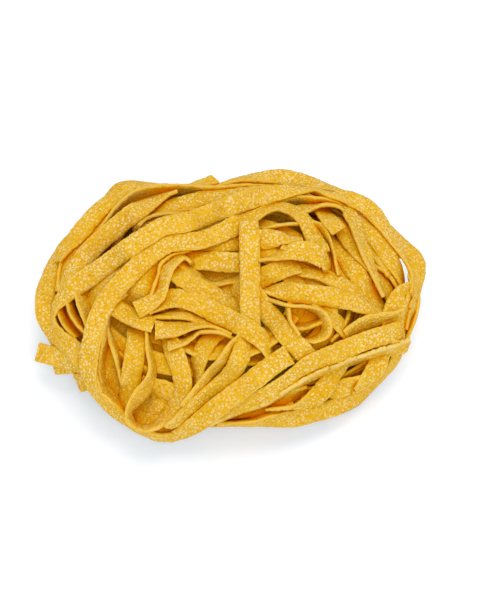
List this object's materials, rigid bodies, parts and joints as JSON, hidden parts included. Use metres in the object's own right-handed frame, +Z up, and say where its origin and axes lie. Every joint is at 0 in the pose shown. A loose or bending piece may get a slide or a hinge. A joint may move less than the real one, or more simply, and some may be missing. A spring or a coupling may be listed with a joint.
{
  "type": "dry pasta nest",
  "caption": "Dry egg-pasta ribbons wound into one flattened oval nest, a loose heap of flat strands that stands on its flat underside.",
  "frame": {"origin": "centre of the flat underside that the nest stands on", "axes": "+X along the nest's longer side, +Y away from the shown front, +Z up"},
  "size_m": [0.0986, 0.0733, 0.0324],
  "materials": {
    "pasta": "dry egg pasta, matt golden yellow with a rough floury surface of small pale specks"
  },
  "bodies": {
    "root": {"pasta_nest": "pasta"}
  },
  "joints": []
}
